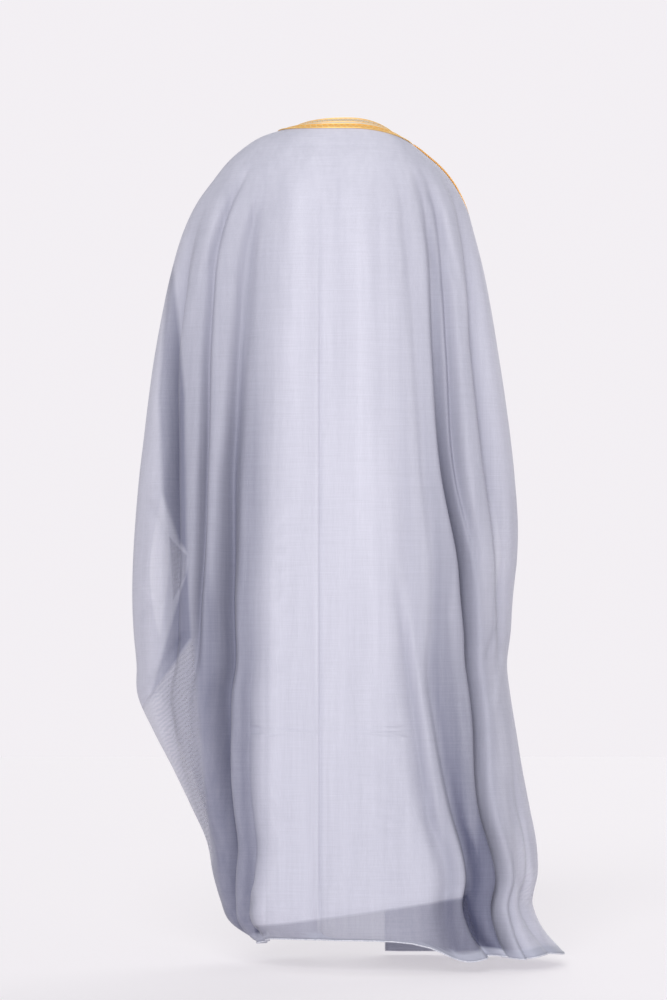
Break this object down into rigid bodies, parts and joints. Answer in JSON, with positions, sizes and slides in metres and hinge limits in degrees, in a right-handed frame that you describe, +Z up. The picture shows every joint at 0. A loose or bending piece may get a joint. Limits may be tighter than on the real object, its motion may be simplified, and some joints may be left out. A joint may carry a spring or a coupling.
{
  "type": "bisht",
  "caption": "Sheer open-front cloak with a gold braid neck band and gold shoulder cords, hollow in its worn form, with long soft folds at both sides.",
  "frame": {"origin": "middle of the neck at the height where the shoulders carry the cloak", "axes": "+X to the wearer's left, +Y behind the wearer, +Z up"},
  "size_m": [0.816, 0.4205, 1.6038],
  "materials": {
    "voile": "sheer plain-weave voile, pale grey-blue",
    "gold_braid": "woven gold zari braid, bright gold edges",
    "gold_cord": "twisted gold zari cord"
  },
  "bodies": {
    "root": {"back": "voile", "front_left": "voile", "front_right": "voile", "neck_and_front_band": "gold_braid", "shoulder_cord_left": "gold_cord", "shoulder_cord_right": "gold_cord"}
  },
  "joints": []
}
